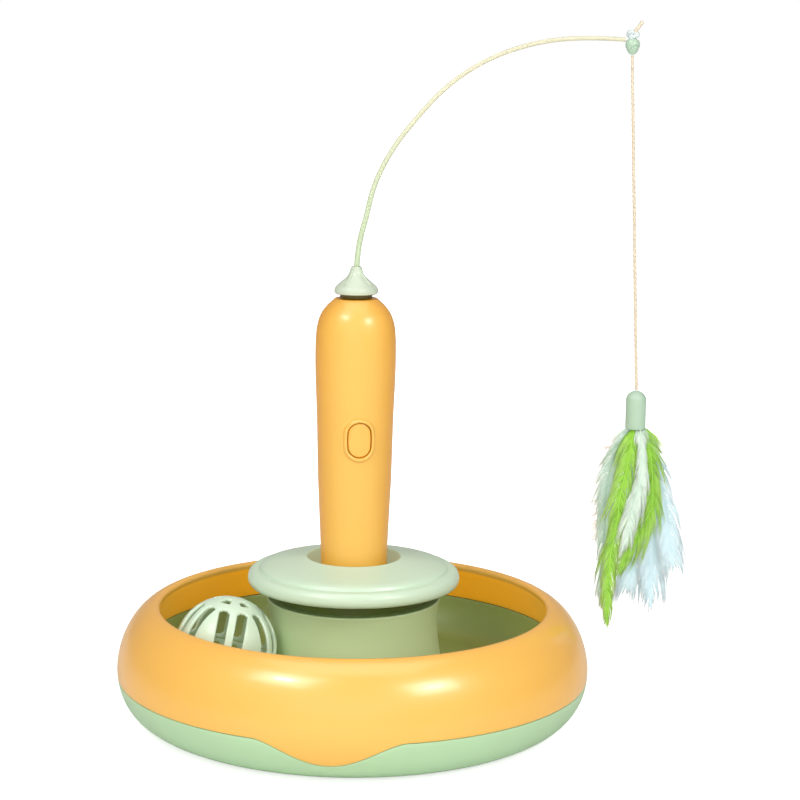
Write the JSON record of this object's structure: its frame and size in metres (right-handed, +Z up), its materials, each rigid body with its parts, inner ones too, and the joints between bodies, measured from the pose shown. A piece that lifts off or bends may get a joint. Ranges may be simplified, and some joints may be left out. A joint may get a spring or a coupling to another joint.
{
  "type": "rotating feather cat toy",
  "caption": "Battery cat toy: ring base with a lattice ball in its channel, upright wand with a button, spinning bent arm and a feather teaser on a string.",
  "frame": {"origin": "centre of the base on the table plane, on the wand axis", "axes": "+Z up along the wand, +X along the arm at rest, -Y towards the button"},
  "size_m": [0.2709, 0.2199, 0.3236],
  "materials": {
    "yellow_plastic": "satin gloss",
    "mint_plastic": "satin gloss",
    "ivory_plastic": "satin",
    "arm_plastic": "satin",
    "cream_string": "twisted string",
    "lime_feather": "feather",
    "white_feather": "feather",
    "blue_feather": "feather",
    "foot_rubber": "matt",
    "steel": "plain",
    "brass": "plain",
    "board": "lacquered",
    "black_plastic": "matt",
    "cell_sleeve": "gloss",
    "gear_plastic": "satin",
    "wire_red": "satin",
    "wire_black": "satin"
  },
  "bodies": {
    "base": {"base_tray": "mint_plastic", "ring_cover": "yellow_plastic", "holder_disc": "mint_plastic", "bottom_cover": "mint_plastic", "foot_pad_1": "foot_rubber", "foot_pad_2": "foot_rubber", "foot_pad_3": "foot_rubber", "foot_pad_4": "foot_rubber", "base_screw_1": "steel", "base_screw_2": "steel", "base_screw_3": "steel", "base_screw_4": "steel"},
    "wand": {"handle_front_shell": "yellow_plastic", "handle_rear_shell": "yellow_plastic", "handle_screw_1": "steel", "handle_screw_2": "steel", "handle_screw_3": "steel", "handle_screw_4": "steel", "circuit_board": "board", "switch_body": "black_plastic", "battery_1": "cell_sleeve", "battery_2": "cell_sleeve", "top_contact_1": "steel", "top_contact_2": "steel", "contact_bridge": "steel", "motor_can": "steel", "motor_end_cap": "ivory_plastic", "gearbox_lower_plate": "gear_plastic", "gearbox_upper_plate": "gear_plastic", "gear_axle": "steel", "top_bush": "brass", "motor_wire_red": "wire_red", "motor_wire_black": "wire_black"},
    "motor_rotor": {"motor_shaft": "steel", "motor_pinion": "brass"},
    "compound": {"compound_gear": "gear_plastic"},
    "rotor": {"output_gear": "gear_plastic", "rotor_cap": "mint_plastic", "arm_rod": "arm_plastic", "arm_tip": "mint_plastic", "string_knot": "ivory_plastic"},
    "button": {"button": "yellow_plastic"},
    "plunger": {"switch_plunger": "ivory_plastic"},
    "door": {"battery_door": "yellow_plastic", "door_screw": "steel"},
    "string_stub": {"string_top": "cream_string"},
    "string_long": {"string": "cream_string"},
    "teaser": {"ferrule": "mint_plastic", "feather_lime_long": "lime_feather", "feather_lime_curled": "lime_feather", "feather_white_short": "white_feather", "feather_mint_left": "white_feather", "feather_blue_right": "blue_feather", "feather_blue_middle": "blue_feather", "feather_blue_short": "blue_feather"},
    "bell": {"bell": "brass"},
    "ball": {"ball_upper_half": "ivory_plastic", "ball_lower_half": "ivory_plastic"}
  },
  "joints": [
    {"name": "wand_lift", "type": "slide", "parent": "base", "child": "wand", "axis": [0, 0, 1], "range_m": [0, 0.06]},
    {"name": "rotor_spin", "type": "hinge", "parent": "wand", "child": "rotor", "pos_m": [0, 0, 0.1984], "axis": [0, 0, 1], "continuous": true},
    {"name": "compound_spin", "type": "hinge", "parent": "wand", "child": "compound", "pos_m": [0.0084, 0, 0.1707], "axis": [0, 0, 1], "continuous": true},
    {"name": "motor_spin", "type": "hinge", "parent": "wand", "child": "motor_rotor", "pos_m": [0, 0, 0.1707], "axis": [0, 0, 1], "continuous": true},
    {"name": "button_press", "type": "slide", "parent": "wand", "child": "button", "axis": [0, 1, 0], "range_m": [0, 0.0008], "stiffness_N_per_m": 600, "springref_m": -0.0005},
    {"name": "plunger_press", "type": "slide", "parent": "wand", "child": "plunger", "axis": [0, 1, 0], "range_m": [0, 0.0008]},
    {"name": "door_lift", "type": "slide", "parent": "wand", "child": "door", "axis": [0, 1, 0], "range_m": [0, 0.02]},
    {"name": "string_side_swing", "type": "hinge", "parent": "rotor", "child": "string_stub", "pos_m": [0.12594, 0, 0.30655], "axis": [1, 0, 0], "range_deg": [-60, 60]},
    {"name": "string_out_swing", "type": "hinge", "parent": "string_stub", "child": "string_long", "pos_m": [0.12621, 0, 0.30026], "axis": [0, -1, 0], "range_deg": [-1.5, 60]},
    {"name": "teaser_swing", "type": "hinge", "parent": "string_long", "child": "teaser", "pos_m": [0.13263, 0, 0.1532], "axis": [1, 0, 0], "range_deg": [-45, 45]},
    {"name": "ball_orbit", "type": "hinge", "parent": "base", "child": "bell", "pos_m": [0, 0, 0.016], "axis": [0, 0, 1], "continuous": true},
    {"name": "ball_roll", "type": "hinge", "parent": "bell", "child": "ball", "pos_m": [-0.06097, -0.02135, 0.0395], "axis": [-0.9438, -0.3305, 0], "continuous": true}
  ],
  "couplings": [
    {"joint": "compound_spin", "follows": "rotor_spin", "ratio": -3.2},
    {"joint": "motor_spin", "follows": "rotor_spin", "ratio": 10.24},
    {"joint": "plunger_press", "follows": "button_press", "ratio": 1},
    {"joint": "ball_roll", "follows": "ball_orbit", "ratio": -2.7845}
  ]
}
